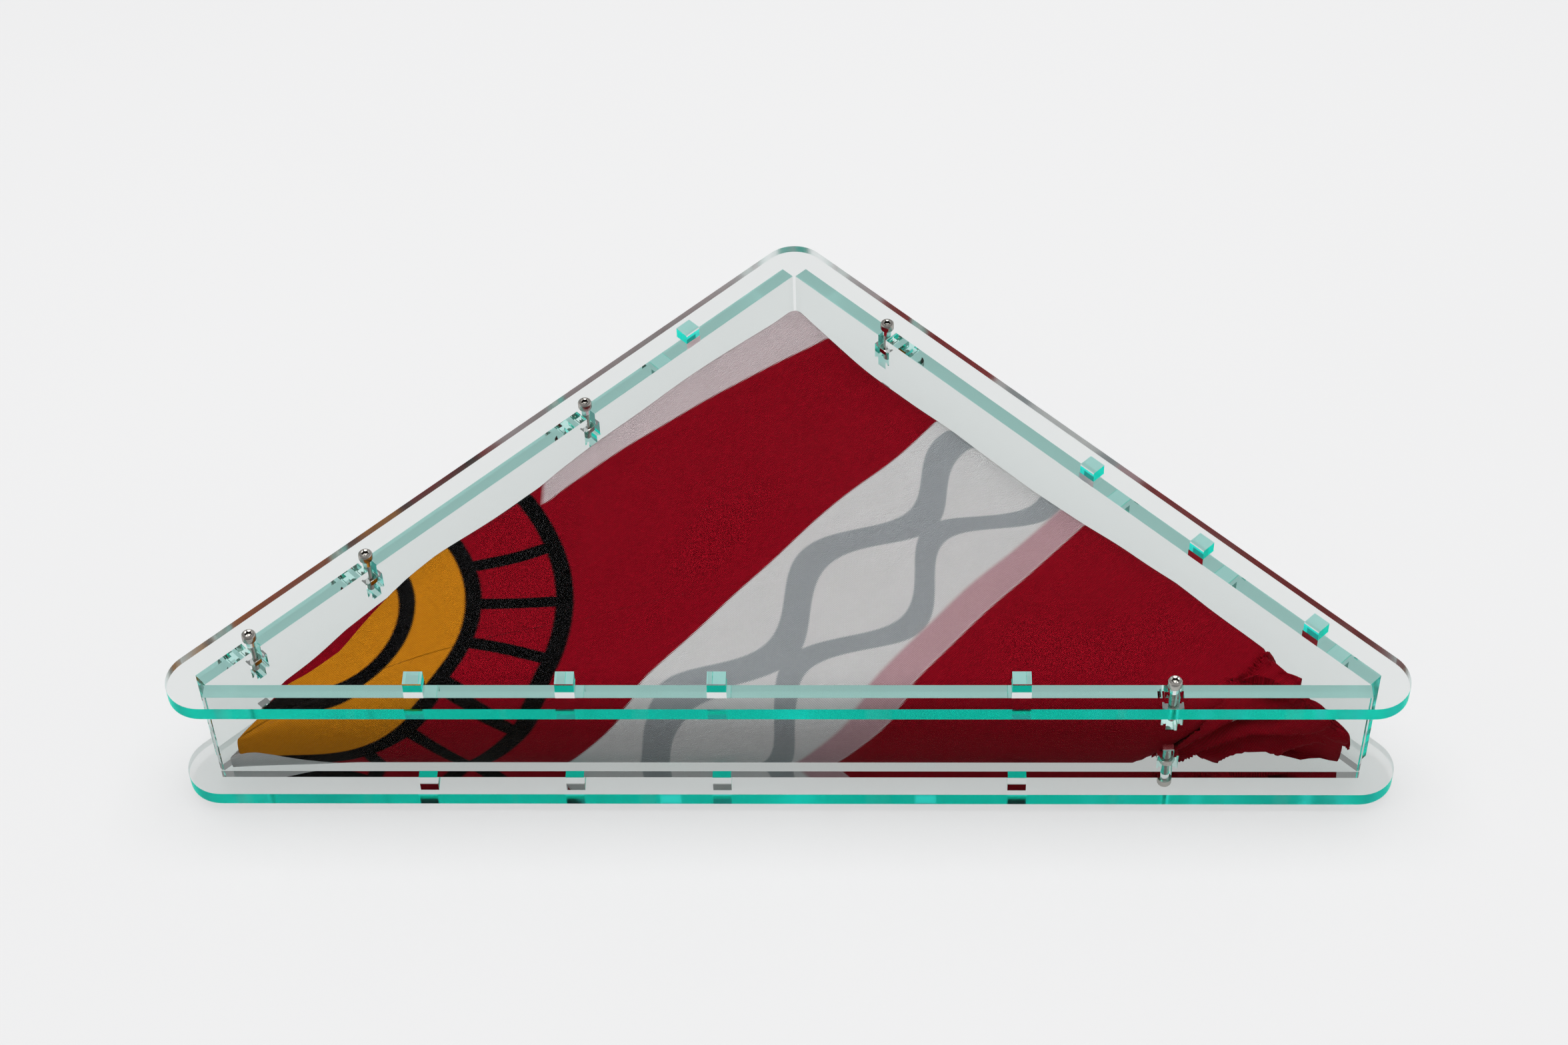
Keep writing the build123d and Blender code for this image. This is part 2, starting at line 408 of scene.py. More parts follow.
# Height in mm of the bundle's upper edge along each short side, by the share of the way to the apex
LEFT_EDGE = ((0.0, 30), (0.06, 36), (0.2, 42), (0.5, 44), (0.8, 47.5), (0.95, 47), (1.0, 44))
RIGHT_EDGE = (
    *((0.0, 35), (0.05, 38), (0.15, 41), (0.3, 40), (0.42, 37)),
    *((0.55, 33), (0.8, 32), (0.93, 35), (1.0, 42)),
)
EDGE_WEIGHT = 3.0  # how strongly the edges' heights count beside the middle's
LEFT_EDGE_REACH = 0.030
RIGHT_EDGE_REACH = 0.038
MIDDLE_HEIGHT = 46.0 * MM
# A soft crease runs through this point from the left edge down the red field
CREASE_X = -0.088
CREASE_Y = -0.030
CREASE_ACROSS = (0.97, 0.24)
CREASE_DEPTH = 1.5 * MM
CREASE_WIDTH = 0.005
# The bundle thins within this distance of its two long corners, by these shares
TIP_REACH = 0.018
LEFT_THINNER = 0.45
RIGHT_THINNER = 0.30


def edge_height(table, share):
    """Height along a side, read smoothly between the points of its table."""
    at, height = np.array(table).T
    fine = np.linspace(0, 1, 101)
    line = np.interp(fine, at, height)
    kernel = np.hanning(13)
    padded = np.pad(line, 6, mode="edge")
    smooth = np.convolve(padded, kernel / kernel.sum(), mode="valid")
    return np.interp(share, fine, smooth) * MM


def wall_distances(x, y):
    """Distance of plan points from the inner faces of the left, right and long walls."""
    left = ((APEX_Y - y) + x) * DIAGONAL
    right = ((APEX_Y - y) - x) * DIAGONAL
    return left, right, y - INNER_Y


def corner_distance(x, y):
    """Distance of plan points from the nearer end of the long wall's inner face."""
    return np.hypot(np.abs(x) - HALF_BASE, y - INNER_Y)


def top_height(x, y):
    """Height of the folded flag's upper face over the plan."""
    left, right, _ = wall_distances(x, y)
    share_left = np.clip((y - INNER_Y) / HALF_BASE, 0, 1)
    near_left = EDGE_WEIGHT * np.exp(-((np.maximum(left, 0) / LEFT_EDGE_REACH) ** 2))
    near_right = EDGE_WEIGHT * np.exp(-((np.maximum(right, 0) / RIGHT_EDGE_REACH) ** 2))
    total = (
        MIDDLE_HEIGHT
        + near_left * edge_height(LEFT_EDGE, share_left)
        + near_right * edge_height(RIGHT_EDGE, share_left)
    ) / (1 + near_left + near_right)
    total += 1.0 * MM * ripple(x, y, 0.11, 3) + 0.30 * MM * ripple(x, y, 0.035, 4)
    crease = (x - CREASE_X) * CREASE_ACROSS[0] + (y - CREASE_Y) * CREASE_ACROSS[1]
    reach = np.clip((y + 0.085) / 0.03, 0, 1) * np.clip((0.01 - y) / 0.02, 0, 1)
    total -= CREASE_DEPTH * np.exp(-((crease / CREASE_WIDTH) ** 2)) * reach
    at_tip = np.exp(-((corner_distance(x, y) / TIP_REACH) ** 2))
    thinner = np.where(x > 0, RIGHT_THINNER, LEFT_THINNER) * at_tip
    return FLOOR_Z + (total - FLOOR_Z) * (1 - thinner)


def inset_triangle(long_in, right_in, left_in):
    """Corners in plan of the inner triangle, moved inward from each wall: left, right and apex."""
    low = INNER_Y + long_in
    right_sum = APEX_Y - right_in / DIAGONAL  # x + y all along the right side
    left_gap = APEX_Y - left_in / DIAGONAL  # y - x all along the left side
    return [
        Vector((low - left_gap, low)),
        Vector((right_sum - low, low)),
        Vector(((right_sum - left_gap) / 2, (right_sum + left_gap) / 2)),
    ]


def outline(corners, spacing, radii, arc_steps=12):
    """Closed outline round three corners, anticlockwise, with an arc at each: points and outward normals."""
    points, normals = [], []
    for k in range(3):
        here, after, before = corners[k], corners[(k + 1) % 3], corners[k - 1]
        radius, next_radius = radii[k], radii[(k + 1) % 3]
        to_next, to_last = (after - here).normalized(), (before - here).normalized()
        half = to_next.angle(to_last) / 2
        centre = here + (to_next + to_last).normalized() * (radius / math.sin(half))
        n_in = Vector((-to_last.y, to_last.x))
        n_out = Vector((to_next.y, -to_next.x))
        for t in np.linspace(0, 1, arc_steps):
            n = n_in.slerp(n_out, t)
            points.append(tuple(centre + n * radius))
            normals.append(tuple(n))
        end_half = (here - after).angle(before - after) / 2
        first = here + to_next * (radius / math.tan(half))
        last = after - to_next * (next_radius / math.tan(end_half))
        steps = max(3, round((last - first).length / spacing))
        for t in np.linspace(0, 1, steps + 1)[1:-1]:
            points.append(tuple(first.lerp(last, t)))
            normals.append(tuple(n_out))
    return np.array(points), np.array(normals)


def closed_rings(name, rings, first_hub, last_hub):
    """Closed mesh from rings of equal length, each end closed by a fan to its hub."""
    count = len(rings[0])
    points = np.concatenate([*rings, [first_hub], [last_hub]])
    faces = [tuple(reversed(f)) for f in grid_faces(len(rings), count, closed=True)]
    last = (len(rings) - 1) * count
    for c in range(count):
        d = (c + 1) % count
        faces.append((len(points) - 2, c, d))
        faces.append((len(points) - 1, last + d, last + c))
    return mesh_object(name, points, faces)


def pillow(name, corners, low, high, seed, wobble, roll=2.0 * MM, spacing=5 * MM, radius=3 * MM):
    """One folded layer of the bundle: a closed flat pad between two heights, with rounded, uneven edges.

    low and high are functions of the plan that give the layer's under and upper faces.
    """
    edge, normal = outline(corners, spacing, (radius, radius, radius))
    shift = wobble * ripple(*edge.T, 0.09, seed) + 0.4 * wobble * ripple(*edge.T, 0.028, seed + 50)
    edge = edge - normal * np.abs(shift)[:, None]
    centre = np.mean([tuple(c) for c in corners], axis=0)
    shares = np.linspace(0, 1, 14)[1:] ** 0.7
    rolled = edge - normal * roll

    def level(share, height):
        points = centre + (rolled - centre) * share
        return np.column_stack([points, height(*points.T)])

    rings = [level(share, high) for share in shares]
    top, bottom = high(*rolled.T), low(*rolled.T)
    for turn in np.linspace(math.pi / 2, -math.pi / 2, 9)[1:-1]:
        z = (top + bottom) / 2 + (top - bottom) / 2 * math.sin(turn)
        rings.append(np.column_stack([rolled + normal * (roll * math.cos(turn)), z]))
    rings += [level(share, low) for share in shares[::-1]]
    hub = np.array([[centre[0]], [centre[1]]])
    made = closed_rings(name, rings, (*centre, high(*hub)[0]), (*centre, low(*hub)[0]))
    points = np.array([v.co for v in made.data.vertices])
    cloth_map(made, np.column_stack([points[:, 0], points[:, 1] + points[:, 2]]))
    return made


def layers(count):
    """The bundle's inner layers, stacked from the back plate up to the wrap."""
    made = []
    base = FLOOR_Z + 0.5 * MM

    def face(share, seed):
        def height(x, y):
            top = top_height(x, y) - 2.4 * MM
            wave = 0.35 * MM * ripple(x, y, 0.07, seed) * math.sin(math.pi * share)
            return base + (top - base) * share + wave

        return height

    for k in range(count):
        chance = np.random.default_rng(100 + k)
        corners = inset_triangle(
            8 * MM, FLAG_GAP + chance.uniform(0, 2.5) * MM, FLAG_GAP + chance.uniform(0, 2.5) * MM
        )
        low, high = face(k / count, 10 + k), face((k + 0.93) / count, 11 + k)
        made.append(pillow(f"fold_layer_{k + 1}", corners, low, high, 20 + k, 0.7 * MM))
    return made


def under_tip():
    """White under layer that shows beyond the wrap in the left corner, highest a little way into it."""
    corner = inset_triangle(0.8 * MM, FLAG_GAP, 0.7 * MM)[0]
    behind = Vector((corner.x + 0.046, INNER_Y + 0.003))
    corners = [corner, behind, corner + Vector((0.034, 0.034))]

    def high(x, y):
        away = np.hypot(x - corner.x, y - corner.y)
        return FLOOR_Z + np.interp(away, (0.0, 0.010, 0.02, 0.05), (0.006, 0.0095, 0.0085, 0.003))

    def low(x, y):
        return np.full_like(x, FLOOR_Z + 0.4 * MM)

    sizes = {"roll": 0.7 * MM, "spacing": 3 * MM, "radius": 0.8 * MM}
    return pillow("fold_tip", corners, low, high, 71, 0.2 * MM, **sizes)


# How far in mm the wrap's left edge stands inside the flag's outline, by the share of the way to the apex
LEFT_INSET = (
    *((0, 0), (0.04, 1.2), (0.08, 3.5), (0.12, 6.5)),
    *((0.17, 8), (0.27, 2.5), (0.35, 0.6), (1, 0.6)),
)
RIGHT_INSET = 0.4  # in mm
# Width in mm of the roll at the left edge, by the same share, and at the right one
LEFT_ROLL = ((0, 1.5), (0.3, 2), (0.5, 4), (1, 4))
RIGHT_ROLL = 4.0
FRONT_ROLL = 14.5 * MM
CORNER_RADII = (1.6 * MM, 1.6 * MM, 5.0 * MM)  # left, right and apex
NO_ROLL_RADIUS = 12 * MM  # this near to a corner the roll is as narrow as it can be
WRAP_MIDDLE = np.array([0.0, INNER_Y + 0.3 * HALF_BASE])  # the wrap's rows run out from here
LOWEST_CLOTH = FLOOR_Z + 0.45 * MM


def wrap_sections(edge, normal, inner_rows, roll_rows, tuck=(4 * MM, 10 * MM, 18 * MM)):
    """The wrap's surface along lines that run outward to points of its outline, and then round the edge.

    Returns the points, row by row, and the same points on the flat cloth.
    """
    x, y = edge.T
    share = np.clip((y - INNER_Y) / HALF_BASE, 0, 1)
    facing = np.clip(-normal[:, 1], 0, 1) ** 2
    tip = np.clip((HALF_BASE - np.abs(x) - 0.004) / 0.018, 0, 1)
    front = facing * (0.25 + 0.75 * tip * tip * (3 - 2 * tip))
    is_left = (x < 0) & (normal[:, 0] < 0)
    inset = np.where(is_left, np.interp(share, *np.array(LEFT_INSET).T), RIGHT_INSET)
    edge = edge - normal * (inset * MM * (1 - facing))[:, None]
    side_roll = np.where(is_left, np.interp(share, *np.array(LEFT_ROLL).T), RIGHT_ROLL) * MM
    out_roll = side_roll * (1 - front) + FRONT_ROLL * front
    # a roll no wider than its corner allows
    to_tip = np.maximum(corner_distance(x, y) - NO_ROLL_RADIUS, 0)
    to_apex = np.maximum(np.hypot(x, y - APEX_Y) - NO_ROLL_RADIUS, 0)
    out_roll = np.minimum(out_roll, np.minimum(1.1 * MM + 0.34 * to_tip, 3.6 * MM + 0.6 * to_apex))
    start = edge - normal * out_roll[:, None]
    top = top_height(*start.T)
    grounded = np.maximum(front, 0.8 * np.clip((np.abs(x) - 0.150) / 0.02, 0, 1))
    low = LOWEST_CLOTH * grounded + (top - 2.2 * side_roll) * (1 - grounded)
    rows, flats = [], []
    for part in np.linspace(0, 1, inner_rows + 1)[1:] ** 0.75:
        points = WRAP_MIDDLE + (start - WRAP_MIDDLE) * part
        rows.append(np.column_stack([points, top_height(*points.T)]))
        flats.append(points)
    last, run = rows[-1], np.zeros(len(edge))
    for turn in np.linspace(math.pi / 2, -math.pi / 2, roll_rows)[1:]:
        out = np.full(len(edge), math.cos(turn) ** 0.85)
        if turn < 0:
            # the front fold comes back to the floor only a little behind its nose
            out = 1 - (1 - out) * (1 - 0.85 * front)
        z = (top + low) / 2 + (top - low) / 2 * math.sin(turn)
        row = np.column_stack([start + normal * (out_roll * out)[:, None], z])
        run = run + np.linalg.norm(row - last, axis=1)
        rows.append(row)
        flats.append(start + normal * run[:, None])
        last = row
    for reach in tuck:
        row = last.copy()
        row[:, :2] -= normal * (reach * front)[:, None]
        rows.append(row)
        flats.append(start + normal * (run + reach * front)[:, None])
    return np.array(rows), np.array(flats)


# The seam slants across the right tip of the flat cloth, through this point
SEAM_X = 0.138
SEAM_Y = -0.125
SEAM_LEAN = 0.95
SEAM_BLEND = 0.010
# The gathered end past the seam: its pleats, and how far the wrap sinks below them
HEM_FROM_X = 0.118
HEM_TO_Y = INNER_Y + 0.060
PLEAT_ACROSS = (0.55, -0.83)
PLEAT_PITCH = 0.0165
PLEAT_RISE = 0.82  # share of the pitch that the gentle side of a pleat takes
PLEAT_FALL = 0.18  # and its steep side
PLEAT_DEPTH = 7.0 * MM
WRAP_RECESS = 8.0 * MM
SHALLOW_RADIUS = 9 * MM  # this near to the tip both depths are nothing
HEM_THICKNESS = 0.4 * MM
HEM_GROWTH = 0.06  # what settle() adds to its length each way


def hem_share(flat):
    """0 up to the seam and 1 just past it, and the distance past it along X, on the flat cloth."""
    past = (flat[..., 0] - SEAM_X) - (flat[..., 1] - SEAM_Y) * SEAM_LEAN
    return np.clip(past / SEAM_BLEND, 0, 1), past


def depth_past_seam(grid, share, deepest, slope):
    """A depth below the wrap's surface past the seam, less near the tip, where there is no room."""
    room = np.maximum(corner_distance(grid[..., 0], grid[..., 1]) - SHALLOW_RADIUS, 0)
    return share * np.minimum(deepest, slope * room)


def surface_normals(grid):
    """Outward normals of a grid whose rows run outward and down and whose columns run anticlockwise."""
    down = np.gradient(grid, axis=0)
    around = np.gradient(grid, axis=1)
    normal = np.cross(down, around)
    return normal / np.maximum(np.linalg.norm(normal, axis=2, keepdims=True), 1e-12)


def keep_inside(points):
    """Moves points back inside the walls and between the plates, in place."""
    gap = 0.7 * MM
    left, right, _ = wall_distances(points[:, 0], points[:, 1])
    into_left = np.maximum(gap - left, 0) * DIAGONAL
    into_right = np.maximum(gap - right, 0) * DIAGONAL
    points[:, 0] += into_left - into_right
    points[:, 1] -= into_left + into_right
    points[:, 1] += np.maximum(gap - (points[:, 1] - INNER_Y), 0)
    points[:, 2] = np.clip(points[:, 2], FLOOR_Z + 0.3 * MM, CEILING_Z - 1 * MM)


def wrap():
    """The outer layer: over the top, round the front fold and under it, and just over the short sides."""
    corners = inset_triangle(2.0 * MM, FLAG_GAP, FLAG_GAP)
    edge, normal = outline(corners, 3.2 * MM, CORNER_RADII, arc_steps=6)
    grid, flat = wrap_sections(edge, normal, inner_rows=70, roll_rows=22)
    share, _ = hem_share(flat)
    recess = depth_past_seam(grid, share, WRAP_RECESS, 0.28)
    grid = grid - surface_normals(grid) * recess[..., None]
    rows, count, _ = grid.shape
    hub = [*WRAP_MIDDLE, float(top_height(WRAP_MIDDLE[:1], WRAP_MIDDLE[1:])[0])]
    points = np.concatenate([grid.reshape(-1, 3), [hub]])
    keep_inside(points)
    faces = [tuple(reversed(f)) for f in grid_faces(rows, count, closed=True)]
    faces += [(len(points) - 1, c, (c + 1) % count) for c in range(count)]
    made = mesh_object("flag_wrap", points, faces)
    cloth_map(made, np.concatenate([flat.reshape(-1, 2), [WRAP_MIDDLE]]))
    return made


def hem():
    """The gathered end of the flag, tucked in at the right tip and puckered along its stitching."""
    corners = inset_triangle(1.6 * MM, FLAG_GAP, FLAG_GAP)
    edge, normal = outline(corners, 1.0 * MM, CORNER_RADII, arc_steps=24)
    near = (edge[:, 0] > HEM_FROM_X) & (edge[:, 1] < HEM_TO_Y)
    grid, flat = wrap_sections(edge[near], normal[near], inner_rows=60, roll_rows=40, tuck=())
    first_row = 32  # the rows before it lie in the bundle's middle
    grid, flat = grid[first_row:], flat[first_row:]
    share, past = hem_share(flat)
    rows, count, _ = grid.shape
    a, b = flat[..., 0], flat[..., 1]
    across = a * PLEAT_ACROSS[0] + b * PLEAT_ACROSS[1]
    slant = across / PLEAT_PITCH + 0.7 * ripple(a, b, 0.045, 41)
    turn = np.mod(slant, 1)
    pleat = np.where(turn < PLEAT_RISE, turn / PLEAT_RISE, (1 - turn) / PLEAT_FALL)
    depth = depth_past_seam(grid, share, PLEAT_DEPTH, 0.26)
    lift = 0.5 * MM - depth * (1 - pleat) + 0.35 * MM * share * ripple(a, b, 0.008, 43)
    points = (grid + surface_normals(grid) * lift[..., None]).reshape(-1, 3)
    keep_inside(points)
    made = mesh_object("flag_hem", points, [tuple(reversed(f)) for f in grid_faces(rows, count)])
    cloth_map(made, flat.reshape(-1, 2))
    # the rim is cut where this share of the rows is reached, in scallops, and sooner at the tip
    rim = (np.arange(rows) / (rows - 1))[:, None] + 0 * a
    at_tip = np.clip((grid[..., 0] - 0.165) / 0.035, 0, 1) ** 1.5
    scallop = 0.80 + 0.11 * share - 0.21 * at_tip + 0.02 * np.sin(2 * math.pi * slant)
    scallop = scallop + 0.012 * ripple(a, b, 0.012, 44)
    kept = (past > 0.0006 * np.sin(a * 700)) & (rim < scallop)
    drop_vertices(made, ~kept.ravel())
    settle(made, frames=14, grow=HEM_GROWTH, pressure=0.3, cap=2.2 * MM)
    return made


def settle(made, frames, grow, pressure, cap):
    """Lets a sheet grow a little as cloth, so that it buckles, each point within a cap of its start."""
    scene = bpy.context.scene
    start = np.zeros(len(made.data.vertices) * 3)
    made.data.vertices.foreach_get("co", start)
    start = start.reshape(-1, 3)
    cloth = made.modifiers.new("cloth", "CLOTH")
    behaviour = {
        "quality": 5,
        "mass": 0.15,
        "tension_stiffness": 12,
        "compression_stiffness": 12,
        "shear_stiffness": 4,
        "bending_stiffness": 0.02,
        "shrink_min": -grow,
        "use_pressure": True,
        "uniform_pressure_force": pressure,
    }
    for key, value in behaviour.items():
        setattr(cloth.settings, key, value)
    cloth.settings.effector_weights.gravity = 0
    cloth.collision_settings.use_collision = False
    for frame_number in range(1, frames + 1):
        scene.frame_set(frame_number)
    moved_object = made.evaluated_get(bpy.context.evaluated_depsgraph_get())
    moved = np.zeros(len(start) * 3)
    moved_object.data.vertices.foreach_get("co", moved)
    shift = moved.reshape(-1, 3) - start
    length = np.linalg.norm(shift, axis=1, keepdims=True)
    shift *= np.minimum(1, cap / np.maximum(length, 1e-9))
    settled = start + shift
    keep_inside(settled)
    made.modifiers.clear()
    made.data.vertices.foreach_set("co", settled.ravel())
    made.data.update()
    scene.frame_set(1)


def drop_vertices(made, gone):
    """Deletes the marked vertices and their faces."""
    work = bmesh.new()
    work.from_mesh(made.data)
    work.verts.ensure_lookup_table()
    bmesh.ops.delete(work, geom=[v for v, g in zip(work.verts, gone) if g], context="VERTS")
    work.to_mesh(made.data)
    work.free()


def thicken(made, thickness):
    """Gives a sheet its real thickness, with a rim, and applies it."""
    solid = made.modifiers.new("thickness", "SOLIDIFY")
    solid.thickness = thickness
    solid.offset = -1.0
    apply_modifiers(made)


def apply_modifiers(made):
    """Puts the mesh as its modifiers leave it in the object's place."""
    settled = made.evaluated_get(bpy.context.evaluated_depsgraph_get())
    mesh = bpy.data.meshes.new_from_object(settled)
    made.modifiers.clear()
    made.data = mesh


def make_flag():
    """The folded flag: its wrap in place of the CAD body, its gathered end and the layers inside."""
    face = flag_cloth("flag_face")
    red = flag_cloth("flag_red", print_on=False)
    white = flag_cloth("flag_white", print_on=False, field=(WHITE, WHITE_SHADE_AND_MOTTLE))
    gold = flag_cloth("flag_gold", print_on=False, field=(GOLD, GOLD_SHADE_AND_MOTTLE))
    outer = wrap()
    outer.data.materials.append(face)
    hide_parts("folded_flag")
    end = hem()
    end.data.materials.append(red)
    thicken(end, HEM_THICKNESS)
    tip = under_tip()
    tip.data.materials.append(white)
    order = (red, white, red, gold, red, white, white, red, red)
    inner = layers(len(order))
    for made, finish in zip(inner, order):
        made.data.materials.append(finish)
    for made in (outer, end, tip, *inner):
        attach(made, "case")
    declare_sheet(outer)
    declare_sheet(end)


def declare_sheet(made):
    """Reads a sheet's cloth coordinates into an array and does nothing more with them.

    The coordinates cover the place that the cloth takes up. A gathered sheet is cut wider than that by its
    fullness. A thickened mesh holds each face twice.
    """
    layer = made.data.uv_layers["cloth"].data
    flat = np.zeros(len(layer) * 2)
    layer.foreach_get("uv", flat)
    flat = flat.reshape(-1, 2)


# ---------------------------------------------------------------- case


def finish_case():
    """Materials of the CAD nodes that stay, and detailed screws and nuts in place of the plain ones."""
    plate = acrylic("acrylic_plate", (0, 0, 1), 0.0, PLATE_CUT_TINT, PLATE_CUT_ROUGHNESS)
    finishes = {"cover_plate": plate, "back_plate": plate}
    for name, turn in (("long_wall", 0.0), ("left_wall", math.pi / 4), ("right_wall", -math.pi / 4)):
        broad = (-math.sin(turn), math.cos(turn), 0)
        finishes[name] = acrylic("acrylic_" + name, broad, turn, WALL_CUT_TINT, WALL_CUT_ROUGHNESS)
    metal = steel("screw_steel", linear(158, 154, 148), linear(214, 210, 204))
    # painted shade: a dark steel for the walls of the hexagon socket
    socket_shade = steel("socket_shade_steel", linear(52, 50, 48), linear(90, 87, 84))
    for name, node in list(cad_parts.items()):
        if name in finishes:
            node.data.materials.clear()
            node.data.materials.append(finishes[name])
        elif "screw" in name or "nut" in name:
            made = screw(name) if "screw" in name else nut(name, node)
            made.data.materials.append(metal)
            if "screw" in name:
                made.data.materials.append(socket_shade)
            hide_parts(name)
            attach(made, name if "screw" in name else "case")


COLUMNS = 48  # points round each ring of a screw or nut
HEAD_HEIGHT = 3.0  # in mm
KNURL_RADII = (2.75, 2.64)  # crest and groove, in mm
SOCKET_FLATS = 2.5 * MM
SOCKET_DEPTH = 1.85 * MM
NUT_FLATS = 5.5 * MM
THREAD_PITCH = 0.5  # in mm
THREAD_CORE = 1.22  # radius in mm
THREAD_RISE = 0.28  # from the core to the crest, in mm


def hexagon(angles, flats):
    """Distance from the middle to a hexagon's side, at angles measured from one of its corners."""
    return flats / 2 / np.cos(np.mod(angles, math.pi / 3) - math.pi / 6)


def screw(name):
    """Socket cap screw with a knurled head, a hexagon socket and a rolled thread, placed as its CAD node."""
    low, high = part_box(name)
    centre = (low + high) / 2
    total = high.z - low.z
    angles = np.linspace(0, 2 * math.pi, COLUMNS, endpoint=False)
    socket = hexagon(angles, SOCKET_FLATS)
    round_ = np.ones(COLUMNS)
    grooves = np.where(np.arange(COLUMNS) % 2 == 0, *KNURL_RADII) * MM
    # the radius of each ring, and in mm its depth below the head's face, from the socket outward and down
    rings = [
        (socket * 0.98, 1.5),
        (socket, 0.12),
        (round_ * 1.47 * MM, 0.0),
        (round_ * 2.35 * MM, 0.0),
        (round_ * 2.64 * MM, 0.3),
        (grooves, 0.42),
        (grooves, 2.72),
        (round_ * 2.62 * MM, HEAD_HEIGHT),
        (round_ * 1.5 * MM, HEAD_HEIGHT),
    ]
    length = total / MM
    for depth in np.arange(3.15, length - 0.3, 0.125):
        phase = np.mod(depth / THREAD_PITCH - angles / (2 * math.pi), 1)
        rings.append(((THREAD_CORE + THREAD_RISE * (1 - np.abs(2 * phase - 1))) * MM, depth))
    rings.append((round_ * 1.05 * MM, length))
    is_up = name.startswith("cover")
    head, way = (high.z, -1) if is_up else (low.z, 1)
    rows = []
    for radius, depth in rings:
        x, y = centre.x + radius * np.cos(angles), centre.y - way * radius * np.sin(angles)
        rows.append(np.column_stack([x, y, np.full(COLUMNS, head + way * depth * MM)]))
    middle = (centre.x, centre.y)
    socket_floor, thread_end = head + way * SOCKET_DEPTH, head + way * total
    made = closed_rings(name + "_turned", rows, (*middle, socket_floor), (*middle, thread_end))
    made.data.set_sharp_from_angle(angle=math.radians(34))
    # painted shade: the walls of the socket take a much darker steel than the turned faces, for the shade
    # inside the recess
    for face in made.data.polygons[:COLUMNS]:
        face.material_index = 1
    return made


def nut(name, node):
    """Hexagon nut with chamfered corners, turned as its CAD node is."""
    low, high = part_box(name)
    centre = (low + high) / 2
    corner = max(node.data.vertices, key=lambda v: math.hypot(v.co.x - centre.x, v.co.y - centre.y)).co
    start = math.atan2(corner.y - centre.y, corner.x - centre.x)
    angles = np.linspace(0, 2 * math.pi, COLUMNS, endpoint=False)
    side = hexagon(angles, NUT_FLATS)
    face = np.minimum(side, 2.66 * MM)
    drop = (side - face) * 0.577  # a chamfer of 30 degrees
    height = high.z - low.z
    mouth, bore = np.full(COLUMNS, 1.68 * MM), np.full(COLUMNS, 1.53 * MM)
    # radius of each ring and its depth below the upper face, round the outside and back through the bore
    rings = [
        (mouth, 0 * drop),
        (face, 0 * drop),
        (side, drop),
        (side, height - drop),
        (face, height + 0 * drop),
        (mouth, height + 0 * drop),
        (bore, height - 0.2 * MM + 0 * drop),
        (bore, 0.2 * MM + 0 * drop),
    ]
    across, along = np.cos(angles + start), np.sin(angles + start)
    points = np.concatenate(
        [np.column_stack([centre.x + r * across, centre.y + r * along, high.z - depth]) for r, depth in rings]
    )
    around = [tuple(reversed(f)) for f in grid_faces(len(rings), COLUMNS, closed=True)]
    last = (len(rings) - 1) * COLUMNS
    for c in range(COLUMNS):
        d = (c + 1) % COLUMNS
        around.append((c, d, last + d, last + c))
    made = mesh_object(name + "_chamfered", points, around)
    made.data.set_sharp_from_angle(angle=math.radians(25))
    return made


# ---------------------------------------------------------------- stage, lights and camera


def make_stage():
    """Pale floor that gives off most of its own light, as a lit studio table does."""
    half = 3.0
    floor = mesh_object(
        "floor",
        [(-half, -half, 0), (half, -half, 0), (half, half, 0), (-half, half, 0)],
        [(0, 1, 2, 3)],
        smooth=False,
    )
    floor.location.z = -0.2 * MM
    made = Shader("studio_floor")
    place = made.place()
    grain = made.noise(place, 3.0, detail=2.0)
    made.surface(
        Base_Color=made.mix(grain, (0.265, 0.265, 0.269, 1), (0.285, 0.285, 0.289, 1)),
        Roughness=0.6,
        Specular_IOR_Level=0.2,
        Emission_Color=(1, 1, 1, 1),
        Emission_Strength=0.545,
    )
    floor.data.materials.append(made.material)


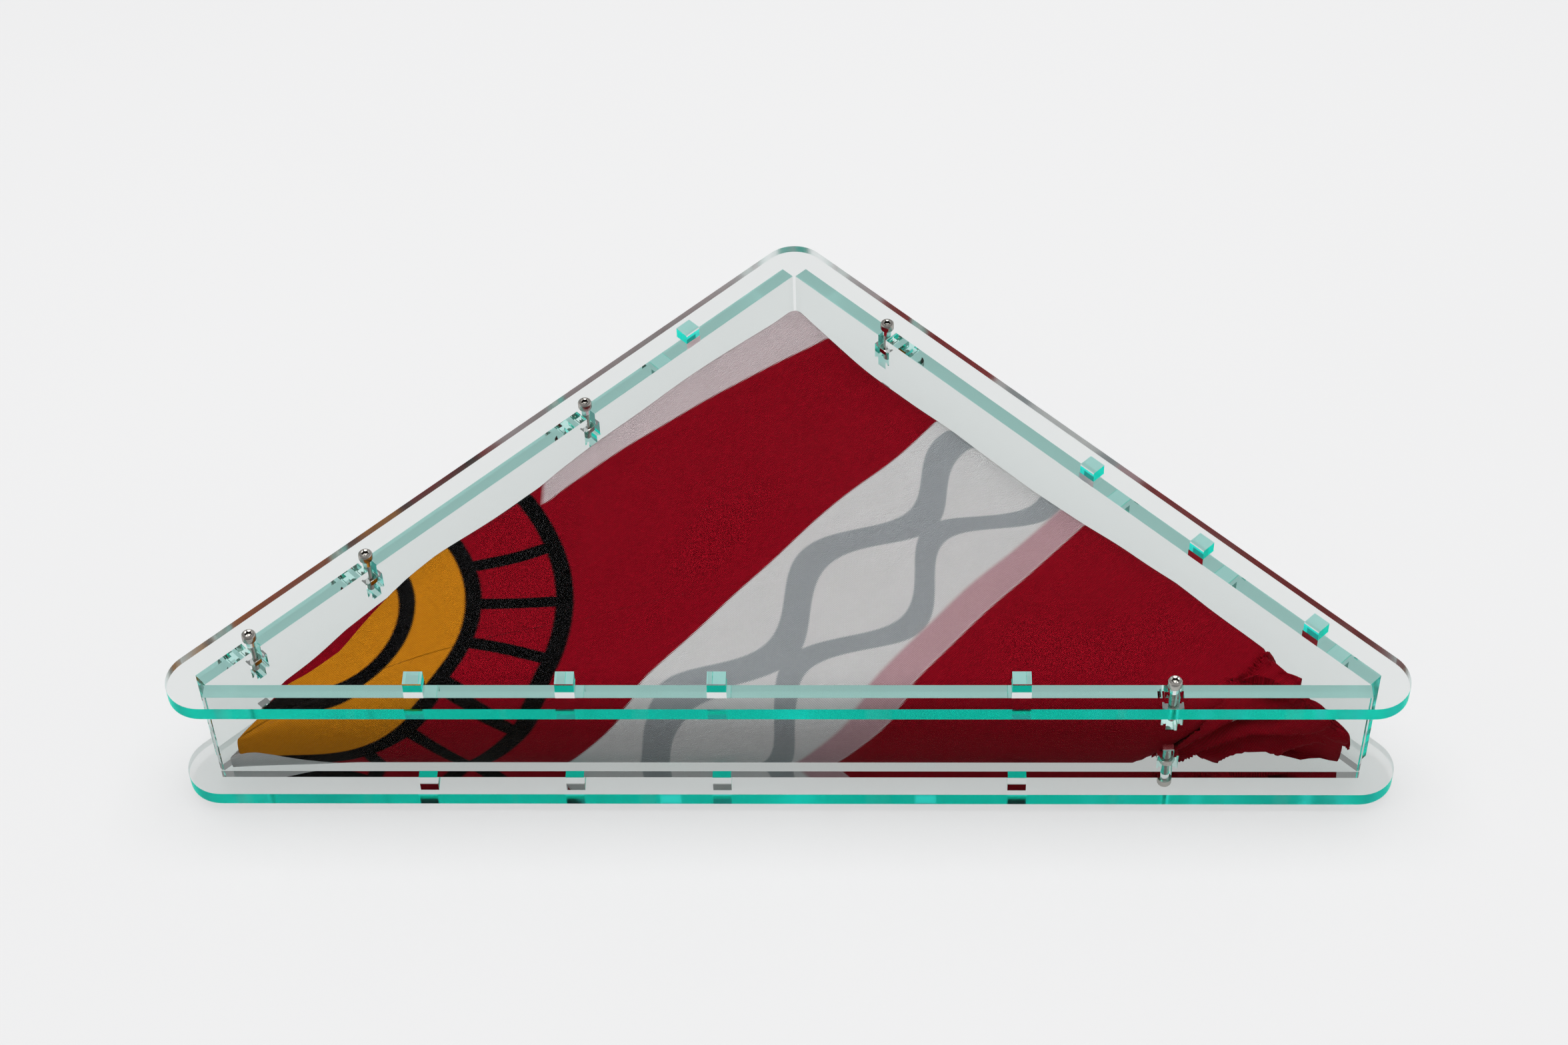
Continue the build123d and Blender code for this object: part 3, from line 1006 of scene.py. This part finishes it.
def make_world():
    """White studio, dimmer in front, with a dark patch that the cover mirrors, so that it stays clear."""
    world = bpy.data.worlds.new("studio")
    bpy.context.scene.world = world
    world.use_nodes = True
    tree = world.node_tree
    background = tree.nodes["Background"]
    sky = tree.nodes.new("ShaderNodeTexCoord")

    def dimmed(strength, direction, inner, outer, loss):
        """The strength less a loss that fades out between two angles from a direction."""
        towards = tree.nodes.new("ShaderNodeVectorMath")
        towards.operation = "DOT_PRODUCT"
        towards.inputs[1].default_value = direction
        ramp = tree.nodes.new("ShaderNodeMapRange")
        ramp.interpolation_type = "SMOOTHSTEP"
        ramp.inputs["From Min"].default_value = math.cos(math.radians(outer))
        ramp.inputs["From Max"].default_value = math.cos(math.radians(inner))
        ramp.inputs["To Max"].default_value = loss
        less = tree.nodes.new("ShaderNodeMath")
        less.operation = "SUBTRACT"
        less.inputs[0].default_value = 0.0
        if isinstance(strength, float):
            less.inputs[0].default_value = strength
        else:
            tree.links.new(strength, less.inputs[0])
        tree.links.new(sky.outputs["Generated"], towards.inputs[0])
        tree.links.new(towards.outputs["Value"], ramp.inputs["Value"])
        tree.links.new(ramp.outputs[0], less.inputs[1])
        return less.outputs[0]

    strength = dimmed(WORLD_STRENGTH, DARK_PATCH_TOWARDS, 18, 36, WORLD_STRENGTH - DARK_PATCH_STRENGTH)
    strength = dimmed(strength, DIM_FRONT_TOWARDS, 30, 78, DIM_FRONT_LOSS)
    tree.links.new(strength, background.inputs["Strength"])
    background.inputs["Color"].default_value = (1.0, 1.0, 1.0, 1.0)


def softbox(name, place, target, size, power):
    """A rectangular lamp of a size in metres and a power in watts, turned towards a target."""
    light = bpy.data.lights.new(name, "AREA")
    light.shape = "RECTANGLE"
    light.size, light.size_y = size
    light.energy = power
    made = bpy.data.objects.new(name, light)
    made.location = place
    direction = Vector(target) - Vector(place)
    made.rotation_mode = "QUATERNION"
    made.rotation_quaternion = direction.to_track_quat("-Z", "Y")
    bpy.context.scene.collection.objects.link(made)
    return made


def make_lights():
    softbox("overhead_softbox", (0.0, 0.1, 1.7), (0, 0, 0), (1.5, 1.1), 23.0)


def make_camera():
    """The photo's camera, whose place, turn and lens were solved from the case's edges, tabs and screws."""
    yaw, tilt, roll = CAMERA_YAW, CAMERA_TILT, CAMERA_ROLL
    forward = Vector((math.sin(yaw) * math.cos(tilt), math.cos(yaw) * math.cos(tilt), -math.sin(tilt)))
    right = Vector((math.cos(yaw), -math.sin(yaw), 0))
    up = right.cross(forward)
    rolled_right = right * math.cos(roll) + up * math.sin(roll)
    rolled_up = up * math.cos(roll) - right * math.sin(roll)
    data = bpy.data.cameras.new("camera")
    data.lens = CAMERA_LENS
    data.sensor_width = SENSOR_WIDTH
    camera = bpy.data.objects.new("camera", data)
    turn = Matrix((rolled_right, rolled_up, -forward)).transposed()
    camera.matrix_world = Matrix.Translation(CAMERA_PLACE) @ turn.to_4x4()
    bpy.context.scene.collection.objects.link(camera)
    bpy.context.scene.camera = camera


def set_light_paths():
    """Clear edges show what many inner reflections carry, so paths may be long."""
    longest = 128
    scene = bpy.context.scene
    scene.view_settings.view_transform = "Standard"
    scene.cycles.max_bounces = longest
    scene.cycles.transmission_bounces = longest
    scene.cycles.glossy_bounces = longest
    scene.cycles.diffuse_bounces = 6


make_camera()
make_stage()
make_world()
make_lights()
set_light_paths()
finish_case()
make_flag()
